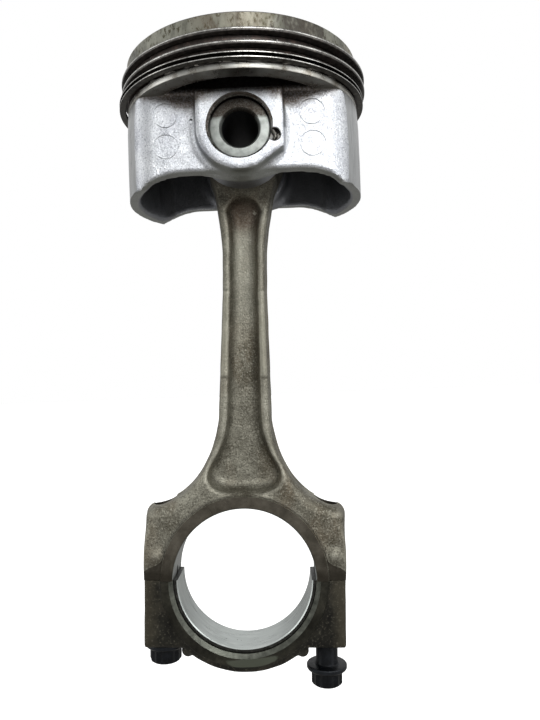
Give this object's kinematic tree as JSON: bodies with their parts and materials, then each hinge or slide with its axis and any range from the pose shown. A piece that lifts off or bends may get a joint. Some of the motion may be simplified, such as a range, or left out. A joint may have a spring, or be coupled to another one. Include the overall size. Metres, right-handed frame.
{
  "type": "engine piston with connecting rod",
  "caption": "Engine piston with split rings, floating wrist pin and clips, on a forged connecting rod with a bolted cap and a half bearing shell; one bolt is backed out.",
  "frame": {"origin": "middle of the wrist pin, on the cylinder's axis", "axes": "+Z along the cylinder axis towards the crown, +Y along the wrist pin away from the viewer, +X to the right"},
  "size_m": [0.0914, 0.0906, 0.2278],
  "materials": {
    "cast_aluminium": "sand-cast grain with turned ring belt, oil and carbon stains",
    "ring_iron": "dark coated ring with bright worn edges",
    "rail_steel": "thin spring steel, oil-darkened",
    "ground_steel": "ground and polished, matt end faces",
    "spring_steel": "drawn wire",
    "bronze": "turned bush",
    "forged_steel": "forged and shot-blasted, oil-stained",
    "oiled_steel": "forged, dark with oil",
    "bearing_metal": "bored satin lining on a steel back",
    "black_oxide": "black oxide, oiled"
  },
  "bodies": {
    "piston": {"piston_body": "cast_aluminium", "pin_clip_front": "spring_steel", "pin_clip_rear": "spring_steel"},
    "top_ring": {"top_compression_ring": "ring_iron"},
    "second_ring": {"second_compression_ring": "ring_iron"},
    "upper_rail": {"oil_ring_upper_rail": "rail_steel"},
    "expander": {"oil_ring_expander": "rail_steel"},
    "lower_rail": {"oil_ring_lower_rail": "rail_steel"},
    "pin": {"wrist_pin": "ground_steel"},
    "rod": {"connecting_rod": "forged_steel", "small_end_bush": "bronze", "rod_cap": "oiled_steel", "lower_bearing_shell": "bearing_metal", "rod_bolt_left": "black_oxide"},
    "loose_bolt": {"rod_bolt_right": "black_oxide"}
  },
  "joints": [
    {"name": "rod_swing", "type": "hinge", "parent": "piston", "child": "rod", "pos_m": [0, 0, 0], "axis": [0, 1, 0], "range_deg": [-51.85, 48.15]},
    {"name": "pin_float", "type": "hinge", "parent": "piston", "child": "pin", "pos_m": [0, 0, 0], "axis": [0, 1, 0], "continuous": true},
    {"name": "top_ring_turn", "type": "hinge", "parent": "piston", "child": "top_ring", "pos_m": [0.0006, 0, 0.0244], "axis": [0, 0, 1], "continuous": true},
    {"name": "second_ring_turn", "type": "hinge", "parent": "piston", "child": "second_ring", "pos_m": [0.0006, 0, 0.0203], "axis": [0, 0, 1], "continuous": true},
    {"name": "upper_rail_turn", "type": "hinge", "parent": "piston", "child": "upper_rail", "pos_m": [-0.0003, 0, 0.0171], "axis": [0, 0, 1], "continuous": true},
    {"name": "expander_turn", "type": "hinge", "parent": "piston", "child": "expander", "pos_m": [0, 0, 0.0163], "axis": [0, 0, 1], "continuous": true},
    {"name": "lower_rail_turn", "type": "hinge", "parent": "piston", "child": "lower_rail", "pos_m": [-0.0003, 0, 0.0155], "axis": [0, 0, 1], "continuous": true},
    {"name": "loose_bolt_slide", "type": "slide", "parent": "rod", "child": "loose_bolt", "axis": [0.0323, 0, 0.9995], "range_m": [0, 0.0084]}
  ]
}
